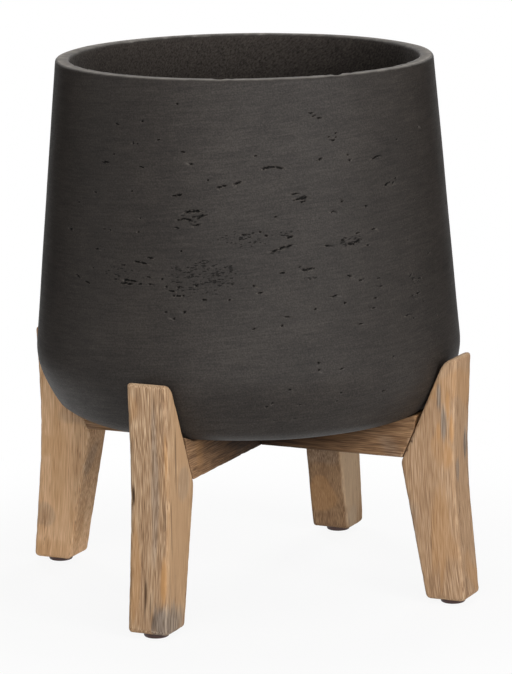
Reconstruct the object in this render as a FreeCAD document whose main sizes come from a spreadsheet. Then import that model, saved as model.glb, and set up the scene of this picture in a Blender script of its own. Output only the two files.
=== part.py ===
import FreeCAD, Part
import math
import os
import re

import Sketcher

# A round planter pot that sits in a low wooden stand.
# Millimetres, +Z up. The origin is on the floor, under the axis of the pot.
# One rail lies along X and the other along Y, and a leg stands at each of their four ends.

# Driving dimensions: name, size in millimetres or degrees, and what it measures
SIZES = [
    ("rim_diameter", 304, "outside of the rim of the pot"),
    ("pot_height", 286, "underside of the pot to its rim"),
    ("wall_lean", 5.07, "degrees by which the wall leans in towards the rim"),
    ("wall_thickness", 11.5, "wall of the pot, square to its face"),
    ("floor_thickness", 14, "floor of the pot"),
    ("base_corner_radius", 53, "round corner between wall and underside"),
    ("inner_corner_radius", 41, "round corner between wall and floor, inside"),
    ("rim_edge_radius", 2.5, "rounding of both edges of the rim"),
    ("drain_diameter", 26, "drain hole in the middle of the floor"),
    ("plug_clearance", 0.3, "between the plug's stem and the drain hole"),
    ("plug_taper", 1.5, "how much the stem's radius shrinks to its end"),
    ("plug_recess", 3, "end of the stem above the underside of the pot"),
    ("plug_flange_width", 9, "flange past the edge of the drain hole"),
    ("plug_flange_thickness", 4, "flange of the plug"),
    ("plug_edge_radius", 1.5, "rounded upper edges of the plug"),
    ("plug_grip_diameter", 15, "knob on the plug to pull it by"),
    ("plug_grip_height", 10, "knob above the flange"),
    ("rail_underside", 119, "underside of the rails above the floor"),
    ("rail_height", 31, "height of both rails"),
    ("rail_width", 34, "thickness of both rails"),
    ("lap_clearance", 0.2, "each side of a rail in the other's notch"),
    ("rail_edge_radius", 2, "eased long edges of the rails"),
    ("leg_thickness", 34, "thickness of the board that the legs are sawn from"),
    ("horn_lean", 23.5, "degrees by which the inner face of a leg leans out"),
    ("cradle_clearance", 0.8, "between the pot's round corner and the legs' inner faces"),
    ("horn_height", 207.5, "top of the legs above the floor"),
    ("tip_slope", 25, "degrees by which a leg's top rises to its outer edge"),
    ("tip_inner_radius", 14, "rounding of the top's inner corner"),
    ("tip_outer_radius", 3, "rounding of the top's outer corner"),
    ("tip_width", 10, "top of a leg, level with its highest point, between its inner and outer faces"),
    ("knee_drop", 3.3, "knee of a leg below the rail's underside"),
    ("knee_radius", 10, "rounding of the knee"),
    ("waist_width", 45, "width of a leg at its knee"),
    ("waist_height", 116, "hollow of the outer edge above the floor"),
    ("waist_radius", 480, "bend of the outer edge at the hollow"),
    ("foot_splay", 10.5, "outer edge at the foot, outside the waist"),
    ("foot_width", 34, "width of the foot"),
    ("foot_corner_radius", 4, "rounding of the foot's corners"),
    ("leg_edge_radius", 2.5, "eased edges of the legs"),
    ("dowel_diameter", 8, "dowels between rail and leg"),
    ("dowel_length", 40, "half of it in the rail, half in the leg"),
    ("dowel_spacing", 17, "between the two dowels of a joint"),
    ("dowel_chamfer", 1, "chamfer on the ends of a dowel"),
    ("dowel_clearance", 0.1, "round a dowel in its hole"),
    ("dowel_end_room", 1.5, "room for glue past each end of a dowel"),
    ("screw_diameter", 4.5, "shank of the screw at the crossing"),
    ("screw_length", 24, "whole length of that screw"),
    ("screw_head_diameter", 9, "its countersunk head"),
    ("screw_head_height", 2.8, "depth of the head's cone"),
    ("screw_sink", 0.6, "head below the face of the rail"),
    ("screw_point", 4, "length of the screw's point"),
    ("screw_clearance", 0.1, "round the screw in its holes"),
    ("glide_diameter", 20, "glide under each foot"),
    ("glide_height", 4.5, "height of a glide"),
    ("glide_edge_radius", 1.5, "rounded lower edge of a glide"),
    ("nail_diameter", 2.4, "shank of the nail through a glide"),
    ("nail_grip", 15, "length of the nail in the leg"),
    ("nail_point", 3, "length of the nail's point"),
    ("nail_head_diameter", 7, "head of the nail"),
    ("nail_head_thickness", 1.2, "head of the nail"),
    ("nail_recess", 1, "head of the nail above the floor"),
    ("nail_clearance", 0.1, "round the nail in its holes"),
]

# The four legs: name, and degrees from +X anticlockwise
SIDES = [("right", 0), ("back", 90), ("left", 180), ("front", 270)]

# Heights and radii that several pieces share, written in the sheet's names
POT_BASE = "(rail_underside + rail_height)"
POT_FLOOR = f"({POT_BASE} + floor_thickness)"
POT_RIM = f"({POT_BASE} + pot_height)"
LAP_HEIGHT = "(rail_underside + rail_height / 2)"
CORNER_CENTRE = (
    "(rim_diameter / 2 + pot_height * tan(wall_lean)"
    " - base_corner_radius * (1 + sin(wall_lean)) / cos(wall_lean))"
)


def inner_face(height):
    """Radius of the legs' leaning inner face at a height: it clears the pot's round corner."""
    below_centre = f"({POT_BASE} + base_corner_radius - {height})"
    offset = f"(base_corner_radius + cradle_clearance - sin(horn_lean) * {below_centre})"
    return f"({CORNER_CENTRE} + {offset} / cos(horn_lean))"


KNEE_HEIGHT = "(rail_underside - knee_drop)"
KNEE = inner_face(KNEE_HEIGHT)
WAIST = f"({KNEE} + waist_width)"
HORN_OUTSIDE = f"({inner_face('horn_height')} + tip_width)"
FOOT_OUTSIDE = f"({WAIST} + foot_splay)"
FOOT_INSIDE = f"({FOOT_OUTSIDE} - foot_width)"
FOOT_MIDDLE = f"({FOOT_OUTSIDE} - foot_width / 2)"
JOINT_MIDDLE = inner_face(LAP_HEIGHT)

doc = FreeCAD.newDocument("planter_with_stand")
sheet = doc.addObject("Spreadsheet::Sheet", "sizes")
for row, (name, size, note) in enumerate(SIZES, start=1):
    sheet.set(f"A{row}", name)
    sheet.set(f"B{row}", str(size))
    sheet.setAlias(f"B{row}", name)
    sheet.set(f"C{row}", note)
doc.recompute()

SIZE_NAMES = re.compile(r"\b(" + "|".join(name for name, size, note in SIZES) + r")\b")


def cells(text):
    """An expression for another object: every size is looked up in the sheet."""
    return SIZE_NAMES.sub(r"sizes.\1", text)


def value(text):
    """What an expression comes to with the sheet as it stands."""
    result = sheet.evalExpression(text)
    return getattr(result, "Value", result)


def new_body(label, turn=0):
    """A body named after its piece, turned about the pot's axis."""
    body = doc.addObject("PartDesign::Body", label)
    body.Label = label
    body.Placement = FreeCAD.Placement(FreeCAD.Vector(), FreeCAD.Rotation(FreeCAD.Vector(0, 0, 1), turn))
    return body


def origin_feature(body, role):
    """One of the body's own origin planes or axes."""
    return next(feature for feature in body.Origin.OriginFeatures if feature.Role == role)


def new_sketch(body, name, plane, offset="0"):
    """An empty sketch on one of the body's origin planes, moved along the plane's normal."""
    sketch = body.newObject("Sketcher::SketchObject", f"{body.Name}_{name}")
    sketch.AttachmentSupport = [(origin_feature(body, plane), "")]
    sketch.MapMode = "FlatFace"
    sketch.setExpression("AttachmentOffset.Base.z", cells(offset))
    return sketch


def constrain(sketch, *constraint, size=None):
    """Add a constraint to a sketch and bind its size to the sheet."""
    if size is None:
        sketch.addConstraint(Sketcher.Constraint(*constraint))
        return
    index = sketch.addConstraint(Sketcher.Constraint(*constraint, value(size)))
    sketch.setExpression(f"Constraints[{index}]", cells(size))


def place_point(sketch, geometry, end, across, up):
    """Hold a point of a sketch at two distances from the sketch's origin."""
    for kind, axis, distance in (("DistanceX", -2, across), ("DistanceY", -1, up)):
        if distance == "0":
            constrain(sketch, "PointOnObject", geometry, end, axis)
        else:
            constrain(sketch, kind, -1, 1, geometry, end, size=distance)


def corner_arc(before, corner, after, radius):
    """The arc that rounds a corner, where it starts and ends, and whether it turns to the left."""
    towards, away = (before - corner).normalize(), (after - corner).normalize()
    half_angle = towards.getAngle(away) / 2
    start = corner + towards * (radius / math.tan(half_angle))
    end = corner + away * (radius / math.tan(half_angle))
    centre = corner + (towards + away).normalize() * (radius / math.sin(half_angle))
    turns_left = towards.cross(away).z < 0
    first, last = (start, end) if turns_left else (end, start)
    angles = [math.atan2(point.y - centre.y, point.x - centre.x) for point in (first, last)]
    circle = Part.Circle(centre, FreeCAD.Vector(0, 0, 1), radius)
    return Part.ArcOfCircle(circle, *angles), start, end, turns_left


def outline(sketch, corners):
    """Draw a closed outline anticlockwise through corners, each (across, up, rounding or None)."""
    points = [FreeCAD.Vector(value(across), value(up), 0) for across, up, rounding in corners]
    arcs = []
    leaves, arrives = list(points), list(points)
    for number, (across, up, rounding) in enumerate(corners):
        arcs.append(None)
        if rounding:
            neighbours = points[number - 1], points[number], points[(number + 1) % len(points)]
            shape, arrives[number], leaves[number], turns_left = corner_arc(*neighbours, value(rounding))
            arcs[number] = (sketch.addGeometry(shape), turns_left)
    lines = []
    for number, leave in enumerate(leaves):
        arrive = arrives[(number + 1) % len(points)]
        lines.append(sketch.addGeometry(Part.LineSegment(leave, arrive)))
    for number, (across, up, rounding) in enumerate(corners):
        before, after = lines[number - 1], lines[number]
        if rounding:
            arc, turns_left = arcs[number]
            first, last = (1, 2) if turns_left else (2, 1)
            constrain(sketch, "Tangent", before, 2, arc, first)
            constrain(sketch, "Tangent", arc, last, after, 1)
            constrain(sketch, "Radius", arc, size=rounding)
            corner = sketch.addGeometry(Part.Point(points[number]), True)
            constrain(sketch, "PointOnObject", corner, 1, before)
            constrain(sketch, "PointOnObject", corner, 1, after)
            place_point(sketch, corner, 1, across, up)
        else:
            constrain(sketch, "Coincident", before, 2, after, 1)
            place_point(sketch, after, 1, across, up)


def circles(sketch, centres, radius):
    """Draw equal circles, each at (across, up)."""
    for across, up in centres:
        middle = FreeCAD.Vector(value(across), value(up), 0)
        circle = sketch.addGeometry(Part.Circle(middle, FreeCAD.Vector(0, 0, 1), value(radius)))
        constrain(sketch, "Radius", circle, size=radius)
        place_point(sketch, circle, 3, across, up)


def add_feature(body, kind, sketch, name, **settings):
    """Add a sketch-based feature to a body and make it the body's tip."""
    feature = body.newObject(f"PartDesign::{kind}", f"{body.Name}_{name}")
    feature.Profile = sketch
    for key, setting in settings.items():
        setattr(feature, key, setting)
    body.Tip = feature
    return feature


def turned(body, name, corners, kind="Revolution"):
    """Turn an outline, drawn as (radius, height), once round the body's Z axis."""
    sketch = new_sketch(body, name, "XZ_Plane")
    outline(sketch, corners)
    return add_feature(body, kind, sketch, f"{name}_turned", ReferenceAxis=(sketch, ["V_Axis"]), Angle=360)


def sawn(body, name, corners, thickness):
    """Saw an outline, drawn as (across, height), from a board that is centred on the body's XZ plane."""
    sketch = new_sketch(body, name, "XZ_Plane")
    outline(sketch, corners)
    board = add_feature(body, "Pad", sketch, f"{name}_sawn", SideType="Symmetric")
    board.setExpression("Length", cells(thickness))
    doc.recompute()
    return board


def drilled(body, name, plane, centres, radius, start="0", depth=None):
    """Drill equal holes along the plane's normal, to a depth from its start or right through."""
    sketch = new_sketch(body, name, plane, start)
    circles(sketch, centres, radius)
    pocket = add_feature(body, "Pocket", sketch, f"{name}_drilled", Reversed=True)
    if depth:
        pocket.setExpression("Length", cells(depth))
    else:
        pocket.Type = "ThroughAll"
    return pocket


def ease_edges(body, base, is_eased, radius):
    """Round the edges of a feature that pass a test."""
    names = [f"Edge{number}" for number, edge in enumerate(base.Shape.Edges, start=1) if is_eased(edge)]
    fillet = body.newObject("PartDesign::Fillet", f"{body.Name}_eased")
    fillet.Base = (base, names)
    fillet.setExpression("Radius", cells(radius))
    body.Tip = fillet


def near(a, b):
    """Whether two lengths are equal, within the kernel's accuracy."""
    return abs(a - b) < 1e-5


def make_pot():
    """The shell: a straight wall on a wide round corner, with a flat floor and a drain hole."""
    outer_foot = "rim_diameter / 2 + pot_height * tan(wall_lean)"
    inner_rim = "rim_diameter / 2 - wall_thickness / cos(wall_lean)"
    inner_foot = f"{inner_rim} + (pot_height - floor_thickness) * tan(wall_lean)"
    body = new_body("pot")
    turned(body, "shell", [
        ("drain_diameter / 2", POT_BASE, None),
        (outer_foot, POT_BASE, "base_corner_radius"),
        ("rim_diameter / 2", POT_RIM, "rim_edge_radius"),
        (inner_rim, POT_RIM, "rim_edge_radius"),
        (inner_foot, POT_FLOOR, "inner_corner_radius"),
        ("drain_diameter / 2", POT_FLOOR, None),
    ])
    return body


def make_drain_plug():
    """A rubber stopper: a tapered stem in the drain hole, a flange on the floor and a knob."""
    stem = "drain_diameter / 2 - plug_clearance"
    flange_top = f"{POT_FLOOR} + plug_flange_thickness"
    grip_top = f"{flange_top} + plug_grip_height"
    body = new_body("drain_plug")
    turned(body, "stopper", [
        ("0", f"{POT_BASE} + plug_recess", None),
        (f"{stem} - plug_taper", f"{POT_BASE} + plug_recess", None),
        (stem, POT_FLOOR, None),
        ("drain_diameter / 2 + plug_flange_width", POT_FLOOR, None),
        ("drain_diameter / 2 + plug_flange_width", flange_top, "plug_edge_radius"),
        ("plug_grip_diameter / 2", flange_top, "plug_edge_radius"),
        ("plug_grip_diameter / 2", grip_top, "plug_edge_radius"),
        ("0", grip_top, None),
    ])
    return body


def screw_outline(room):
    """Half of the crossing's screw as (radius, height), or its hole when there is room round it."""
    head = "rail_underside + screw_sink"
    neck = f"{head} + screw_head_height"
    point = f"{head} + screw_length + {room}"
    return [
        ("0", head, None),
        (f"screw_head_diameter / 2 + {room}", head, None),
        (f"screw_diameter / 2 + {room}", neck, None),
        (f"screw_diameter / 2 + {room}", f"{point} - screw_point", None),
        ("0", point, None),
    ]


def screw_hole_outline():
    """The screw's hole: the screw with room round it, and the sink open to the rail's underside."""
    hole = screw_outline("screw_clearance")
    below = "rail_underside - screw_sink"
    return [("0", below, None), ("screw_head_diameter / 2 + screw_clearance", below, None)] + hole[1:]


def make_rail(label, turn, notch_on_top):
    """A rail with leaning ends, half notched for the other rail, drilled for dowels and the screw."""
    low, high = "rail_underside", POT_BASE
    low_end, high_end = inner_face(low), inner_face(high)
    notch = "(rail_width / 2 + lap_clearance)"
    if notch_on_top:
        below = []
        above = [(notch, high), (notch, LAP_HEIGHT), (f"-{notch}", LAP_HEIGHT), (f"-{notch}", high)]
    else:
        below = [(f"-{notch}", low), (f"-{notch}", LAP_HEIGHT), (notch, LAP_HEIGHT), (notch, low)]
        above = []
    ends_low = [(f"-{low_end}", low)] + below + [(low_end, low)]
    ends_high = [(high_end, high)] + above + [(f"-{high_end}", high)]
    body = new_body(label, turn)
    board = sawn(body, "rail", [(across, up, None) for across, up in ends_low + ends_high], "rail_width")

    def is_long_edge(edge):
        centre = edge.CenterOfMass
        on_top_or_underside = near(centre.z, value(low)) or near(centre.z, value(high))
        return on_top_or_underside and near(abs(centre.y), value("rail_width / 2"))

    ease_edges(body, board, is_long_edge, "min(rail_edge_radius, rail_height / 5)")
    pocket = drilled(
        body, "dowel_holes", "YZ_Plane",
        [("dowel_spacing / 2", LAP_HEIGHT), ("-dowel_spacing / 2", LAP_HEIGHT)],
        "dowel_diameter / 2 + dowel_clearance",
        start=f"{JOINT_MIDDLE} - dowel_length / 2 - dowel_end_room",
    )
    other_end = body.newObject("PartDesign::Mirrored", f"{body.Name}_other_end")
    other_end.Originals = [pocket]
    other_end.MirrorPlane = (origin_feature(body, "YZ_Plane"), [""])
    body.Tip = other_end
    turned(body, "screw_hole", screw_hole_outline(), kind="Groove")
    return body


def make_lap_screw():
    """The countersunk screw, driven from below through the crossing of the rails."""
    body = new_body("lap_screw")
    turned(body, "screw", screw_outline("0"))
    return body


def make_leg(side, turn):
    """A leg: a splayed foot, a knee under the rail and a horn that leans out round the pot."""
    fall = "(tan(horn_lean) * tan(tip_slope))"
    tip_inside = f"({inner_face('horn_height')} - tip_width * {fall} / (1 - {fall}))"
    tip_height = f"(horn_height - tip_width * tan(tip_slope) / (1 - {fall}))"
    body = new_body(f"leg_{side}", turn)
    board = sawn(body, "leg", [
        (FOOT_INSIDE, "glide_height", "foot_corner_radius"),
        (FOOT_OUTSIDE, "glide_height", "foot_corner_radius"),
        (WAIST, "waist_height", "waist_radius"),
        (HORN_OUTSIDE, "horn_height", "tip_outer_radius"),
        (tip_inside, tip_height, "tip_inner_radius"),
        (KNEE, KNEE_HEIGHT, "knee_radius"),
    ], "leg_thickness")

    def is_face_edge(edge):
        return near(abs(edge.CenterOfMass.y), value("leg_thickness / 2"))

    ease_edges(body, board, is_face_edge, "min(leg_edge_radius, tip_outer_radius * 0.9)")
    drilled(
        body, "dowel_holes", "YZ_Plane",
        [("dowel_spacing / 2", LAP_HEIGHT), ("-dowel_spacing / 2", LAP_HEIGHT)],
        "dowel_diameter / 2 + dowel_clearance",
        depth=f"{JOINT_MIDDLE} + dowel_length / 2 + dowel_end_room",
    )
    drilled(
        body, "nail_hole", "XY_Plane", [(FOOT_MIDDLE, "0")], "nail_diameter / 2 + nail_clearance",
        depth="glide_height + nail_grip + nail_clearance",
    )
    return body


def make_dowels(side, turn):
    """The pair of chamfered dowels in one joint, half in the rail and half in the leg."""
    inner_end = f"({JOINT_MIDDLE} - dowel_length / 2)"
    outer_end = f"({JOINT_MIDDLE} + dowel_length / 2)"
    axis_at = "dowel_spacing / 2"
    edge_at = "(dowel_spacing / 2 + dowel_diameter / 2)"
    body = new_body(f"dowels_{side}", turn)
    sketch = new_sketch(body, "dowel", "XY_Plane", LAP_HEIGHT)
    outline(sketch, [
        (inner_end, axis_at, None),
        (outer_end, axis_at, None),
        (outer_end, f"{edge_at} - dowel_chamfer", None),
        (f"{outer_end} - dowel_chamfer", edge_at, None),
        (f"{inner_end} + dowel_chamfer", edge_at, None),
        (inner_end, f"{edge_at} - dowel_chamfer", None),
    ])
    dowel = add_feature(body, "Revolution", sketch, "turned", ReferenceAxis=(sketch, ["Edge1"]), Angle=360)
    pair = body.newObject("PartDesign::Mirrored", f"{body.Name}_pair")
    pair.Originals = [dowel]
    pair.MirrorPlane = (origin_feature(body, "XZ_Plane"), [""])
    body.Tip = pair
    return body


def stand_under_foot(body, turn):
    """Put a turned piece under the middle of a leg's foot."""
    body.setExpression("Placement.Base.x", cells(f"{FOOT_MIDDLE} * cos({turn})"))
    body.setExpression("Placement.Base.y", cells(f"{FOOT_MIDDLE} * sin({turn})"))


def make_glide(side, turn):
    """A round glide with a rounded lower edge and a sunk seat for its nail."""
    seat = "nail_recess + nail_head_thickness"
    sink = "nail_head_diameter / 2 + nail_clearance"
    hole = "nail_diameter / 2 + nail_clearance"
    body = new_body(f"glide_{side}")
    turned(body, "glide", [
        (sink, "0", None),
        ("glide_diameter / 2", "0", "glide_edge_radius"),
        ("glide_diameter / 2", "glide_height", None),
        (hole, "glide_height", None),
        (hole, seat, None),
        (sink, seat, None),
    ])
    stand_under_foot(body, turn)
    return body


def make_glide_nail(side, turn):
    """The nail that holds a glide: a flat head in the glide's seat and a pointed shank."""
    seat = "nail_recess + nail_head_thickness"
    point = "glide_height + nail_grip"
    body = new_body(f"glide_nail_{side}")
    turned(body, "nail", [
        ("0", "nail_recess", None),
        ("nail_head_diameter / 2", "nail_recess", None),
        ("nail_head_diameter / 2", seat, None),
        ("nail_diameter / 2", seat, None),
        ("nail_diameter / 2", f"{point} - nail_point", None),
        ("0", point, None),
    ])
    stand_under_foot(body, turn)
    return body


def check_document():
    """Stop if any object failed to recompute, or a cut took nothing away."""
    doc.recompute()
    for item in doc.Objects:
        if "Invalid" in item.State or "Error" in item.State:
            raise RuntimeError(f"{item.Name} failed: {item.State}")
        if item.TypeId in ("PartDesign::Pocket", "PartDesign::Groove"):
            if item.Shape.Volume >= item.BaseFeature.Shape.Volume:
                raise RuntimeError(f"{item.Name} cuts nothing")


def main():
    pieces = [make_pot(), make_drain_plug()]
    pieces.append(make_rail("left_right_rail", 0, notch_on_top=False))
    pieces.append(make_rail("front_back_rail", 90, notch_on_top=True))
    pieces.append(make_lap_screw())
    for side, turn in SIDES:
        pieces.append(make_leg(side, turn))
        pieces.append(make_dowels(side, turn))
        pieces.append(make_glide(side, turn))
        pieces.append(make_glide_nail(side, turn))
    check_document()
    os.makedirs("parts", exist_ok=True)
    for piece in pieces:
        if piece.Shape.isNull() or not piece.Shape.isValid():
            raise RuntimeError(f"{piece.Label} has no valid shape")
    for piece in pieces:
        piece.Shape.exportStep(f"parts/{piece.Label}.step")
        print(f"{piece.Label}: {len(piece.Shape.Solids)} solid(s), {piece.Shape.Volume / 1000:.2f} cm3")


main()
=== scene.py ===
# %% [markdown]
# # A cement planter pot in a weathered wooden stand
# The imported model gives every piece its place and size. This lesson dresses that model: it makes the
# pot, the legs and the rails again as meshes with pits, rough walls and weathered grain, and gives every
# piece a material made of nodes. The model is loaded first, and its own pieces are hidden where they are
# made again.

# %% Load the frame
import math
import random

import bmesh
import bpy
from mathutils import Matrix, Vector, bvhtree, kdtree, noise


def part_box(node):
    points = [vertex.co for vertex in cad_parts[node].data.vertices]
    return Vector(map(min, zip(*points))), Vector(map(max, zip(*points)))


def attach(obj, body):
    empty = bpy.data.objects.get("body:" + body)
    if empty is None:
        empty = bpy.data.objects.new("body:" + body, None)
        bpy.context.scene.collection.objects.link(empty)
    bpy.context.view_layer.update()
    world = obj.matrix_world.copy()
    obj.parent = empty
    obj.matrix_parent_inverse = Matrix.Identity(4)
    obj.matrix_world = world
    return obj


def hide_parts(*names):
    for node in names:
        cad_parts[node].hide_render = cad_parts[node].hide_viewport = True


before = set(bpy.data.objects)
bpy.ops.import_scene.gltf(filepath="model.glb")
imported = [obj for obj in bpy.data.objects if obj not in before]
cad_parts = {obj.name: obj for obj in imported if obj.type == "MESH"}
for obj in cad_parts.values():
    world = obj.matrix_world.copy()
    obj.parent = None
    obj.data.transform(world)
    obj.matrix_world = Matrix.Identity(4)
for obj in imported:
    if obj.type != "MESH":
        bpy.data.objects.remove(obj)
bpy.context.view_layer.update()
MM = 0.001

# %% [markdown]
# ## The camera
# The photograph was taken with a long lens from a little above the rim, about 25 degrees round to the
# right of the front leg. A long lens keeps the legs nearly parallel, so the distance matters as much as
# the angle. The camera is put together from its heading, its tilt and a very small roll.

# %% Camera
CAMERA_PLACE = Vector((1.2284, -2.6284, 0.7996))
CAMERA_HEADING = math.radians(24.93)
CAMERA_TILT = math.radians(78.41)
CAMERA_ROLL = math.radians(-0.85)
LENS_MM, SENSOR_MM = 193.7, 36
PLANTER_MIDDLE = Vector((0, 0, 0.22))

camera_data = bpy.data.cameras.new("photo_camera")
camera_data.lens = LENS_MM
camera_data.sensor_width = SENSOR_MM
camera = bpy.data.objects.new("photo_camera", camera_data)
camera_turn = (
    Matrix.Rotation(CAMERA_HEADING, 4, "Z")
    @ Matrix.Rotation(CAMERA_TILT, 4, "X")
    @ Matrix.Rotation(CAMERA_ROLL, 4, "Z")
)
camera.matrix_world = Matrix.Translation(CAMERA_PLACE) @ camera_turn
bpy.context.scene.collection.objects.link(camera)
bpy.context.scene.camera = camera
print("camera", round((CAMERA_PLACE - PLANTER_MIDDLE).length, 2), "m from the planter")

# %% [markdown]
# ## Colours and nodes
# Colours are picked on a screen as sRGB hex values, but the renderer adds light up in linear values, so
# one function turns the first into the second. A second small function adds a node to a material, with
# its settings, its colour stops and its links, so that each material reads as a list of its layers.

# %% Node helpers
def linear(hex_colour):
    """An sRGB hex colour as linear red, green, blue and alpha."""
    shares = [int(hex_colour[start:start + 2], 16) / 255 for start in (1, 3, 5)]
    return [s / 12.92 if s <= 0.04045 else ((s + 0.055) / 1.055) ** 2.4 for s in shares] + [1.0]


def add_node(tree, kind, inputs=None, stops=None, **settings):
    """Add a node of a kind with its settings, colour stops, and the values or links of its inputs."""
    node = tree.nodes.new("ShaderNode" + kind)
    for name, setting in settings.items():
        setattr(node, name, setting)
    for number, (position, colour) in enumerate(stops or []):
        elements = node.color_ramp.elements
        element = elements[number] if number < 2 else elements.new(position)
        element.position = position
        element.color = linear(colour)
    for name, source in (inputs or {}).items():
        if isinstance(source, bpy.types.NodeSocket):
            tree.links.new(source, node.inputs[name])
        else:
            node.inputs[name].default_value = source
    return node


def new_material(name):
    """An empty node material, with its tree."""
    material = bpy.data.materials.new(name)
    material.use_nodes = True
    material.node_tree.nodes.clear()
    return material, material.node_tree


print("white is", linear("#ffffff")[:3])

# %% [markdown]
# ## Floor and light
# A product photograph like this one is taken on a white sweep with a few soft lamps. Here a low one in front
# reaches under the pot to the back legs, the main one stands to the right, weak ones fill in from the left
# and from above, and two behind light the back for other views. Black cards hang beside the pot, out of
# the picture, because the sides of a dark pot would otherwise mirror the white sweep and look flat. The
# floor and the room could be lit until they are white, but that would flood the planter too, so they are
# white only to the camera and in reflections. Near the planter the floor still takes a part of its
# brightness from the lamps, so that a shadow stays on it.

# %% Floor
FLOOR_SIZE = 30.0
SHADOW_SHARE = 0.09
SHADOW_FROM, SHADOW_REACH = 0.2, 0.5


def background_share(tree):
    """A socket that is 1 for the rays that show the background: straight, mirrored or through glass."""
    ray = add_node(tree, "LightPath")
    share = ray.outputs["Is Camera Ray"]
    for kind in ("Is Glossy Ray", "Is Transmission Ray"):
        share = add_node(tree, "Math", {0: share, 1: ray.outputs[kind]}, operation="MAXIMUM").outputs[0]
    return share


# Matte paper: the eye gets plain white, with a soft grey shadow round the feet
floor_material, tree = new_material("white_paper_sweep")
spot = add_node(tree, "TexCoord")
away = add_node(tree, "VectorMath", {0: spot.outputs["Object"]}, operation="LENGTH")
glow = add_node(tree, "MapRange", {
    "Value": away.outputs["Value"], "From Min": SHADOW_FROM, "From Max": SHADOW_REACH,
    "To Min": 1 - SHADOW_SHARE, "To Max": 1.0,
}, interpolation_type="SMOOTHSTEP")
share = add_node(tree, "Math", {0: background_share(tree), 1: glow.outputs[0]}, operation="MULTIPLY")
paper = add_node(tree, "BsdfDiffuse", {"Color": linear("#dedede")})
white = add_node(tree, "Emission", {"Color": linear("#ffffff"), "Strength": 1.0})
sweep = add_node(tree, "MixShader", {0: share.outputs[0], 1: paper.outputs[0], 2: white.outputs[0]})
add_node(tree, "OutputMaterial", {"Surface": sweep.outputs[0]})

bm = bmesh.new()
bmesh.ops.create_grid(bm, x_segments=1, y_segments=1, size=FLOOR_SIZE / 2)
floor_mesh = bpy.data.meshes.new("floor")
bm.to_mesh(floor_mesh)
bm.free()
floor_mesh.materials.append(floor_material)
floor = bpy.data.objects.new("floor", floor_mesh)
bpy.context.scene.collection.objects.link(floor)
print("floor", FLOOR_SIZE, "m wide")

# %% Lamps and world
LAMP_TARGET = Vector((0, 0, 0.25))
LAMP_DISTANCE = 1.8
ROOM_LEVEL = 0.03


def soft_lamp(name, azimuth, elevation, width, height, level):
    """An area lamp that faces the planter; the azimuth is from the photograph's camera, to its right.

    At a level of 1, a white surface that faces the lamp renders white.
    """
    turn = CAMERA_HEADING + math.radians(azimuth)
    rise = math.radians(elevation)
    away = Vector((math.sin(turn) * math.cos(rise), -math.cos(turn) * math.cos(rise), math.sin(rise)))
    data = bpy.data.lights.new(name, "AREA")
    data.shape = "RECTANGLE"
    data.size = width
    data.size_y = height
    data.energy = level * (math.pi * LAMP_DISTANCE) ** 2
    lamp = bpy.data.objects.new(name, data)
    lamp.location = LAMP_TARGET + away * LAMP_DISTANCE
    lamp.rotation_euler = (-away).to_track_quat("-Z", "Y").to_euler()
    bpy.context.scene.collection.objects.link(lamp)
    return lamp


# azimuth and elevation in degrees, width and height in metres, level
soft_lamp("front_strip", 4, 11, 0.9, 0.4, 0.34)
soft_lamp("right_softbox", 42, 18, 0.7, 0.7, 0.5)
soft_lamp("left_strip", -25, 12, 0.6, 0.4, 0.15)
soft_lamp("top_softbox", 10, 70, 0.8, 0.8, 0.25)
soft_lamp("back_right_softbox", 150, 35, 0.8, 0.8, 0.5)
soft_lamp("back_left_softbox", -150, 35, 0.8, 0.8, 0.5)
world = bpy.data.worlds.new("studio_room")
world.use_nodes = True
tree = world.node_tree
tree.nodes.clear()
level = add_node(tree, "MapRange", {"Value": background_share(tree), "To Min": ROOM_LEVEL, "To Max": 1.0})
room = add_node(tree, "Background", {"Color": linear("#ffffff"), "Strength": level.outputs[0]})
add_node(tree, "OutputWorld", {"Surface": room.outputs[0]})
bpy.context.scene.world = world
bpy.context.scene.view_settings.view_transform = "Standard"
print("six soft lamps and a dim room")

# %% Black cards
CARD_ASIDE, CARD_LENGTH, CARD_HEIGHT, CARD_LIFT = 0.5, 0.75, 1.3, 0.04

# Matte black card: the eye gets only its dark reflection in the pot's sides
card_material, tree = new_material("black_card")
card_face = add_node(tree, "BsdfDiffuse", {"Color": linear("#141414")})
add_node(tree, "OutputMaterial", {"Surface": card_face.outputs[0]})
for name, aside in (("left_card", CARD_ASIDE), ("right_card", -CARD_ASIDE)):
    bm = bmesh.new()
    bmesh.ops.create_grid(bm, x_segments=1, y_segments=1, size=0.5)
    bmesh.ops.scale(bm, verts=bm.verts[:], vec=(CARD_LENGTH, CARD_HEIGHT, 1))
    bmesh.ops.rotate(bm, verts=bm.verts[:], cent=(0, 0, 0), matrix=Matrix.Rotation(math.pi / 2, 3, "X"))
    bmesh.ops.translate(bm, verts=bm.verts[:], vec=(CARD_LENGTH / 2, aside, CARD_LIFT + CARD_HEIGHT / 2))
    along_view = Matrix.Rotation(CAMERA_HEADING + math.pi / 2, 3, "Z")
    bmesh.ops.rotate(bm, verts=bm.verts[:], cent=(0, 0, 0), matrix=along_view)
    card_mesh = bpy.data.meshes.new(name)
    bm.to_mesh(card_mesh)
    bm.free()
    card_mesh.materials.append(card_material)
    card = bpy.data.objects.new(name, card_mesh)
    card.visible_camera = False
    bpy.context.scene.collection.objects.link(card)
print("two black cards beside the planter")

# %% [markdown]
# ## Drawing outlines
# The pot is a turned shape and the legs are sawn from a board, so both start from a flat outline. A few
# corners make a face, and a bevel of single vertices rounds each corner, as a compass would. The sizes
# are the model's own, in millimetres.

# %% Outline helper
ARC_STEP = 3.0


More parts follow.
